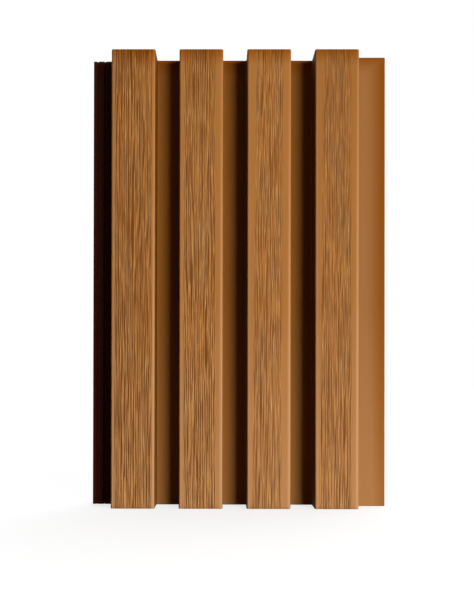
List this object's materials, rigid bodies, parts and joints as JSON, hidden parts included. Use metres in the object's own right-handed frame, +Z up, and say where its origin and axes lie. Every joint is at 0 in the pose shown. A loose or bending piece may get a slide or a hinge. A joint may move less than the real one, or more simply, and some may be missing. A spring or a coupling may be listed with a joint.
{
  "type": "composite cladding board",
  "caption": "Slatted wall cladding board in wood-plastic composite: hollow ribs with embossed grain, a tongue along one edge and a lap along the other.",
  "frame": {"origin": "middle of the lower sawn end, halfway through the board's depth", "axes": "+Z up along the length, +X towards the lap, +Y towards the wall behind, -Y to the weather side"},
  "size_m": [0.219, 0.026, 0.335],
  "materials": {
    "wood_plastic_composite": "warm brown co-extruded skin, satin, with wood grain embossed on the faces of the ribs"
  },
  "bodies": {
    "root": {"cladding_board": "wood_plastic_composite"}
  },
  "joints": []
}
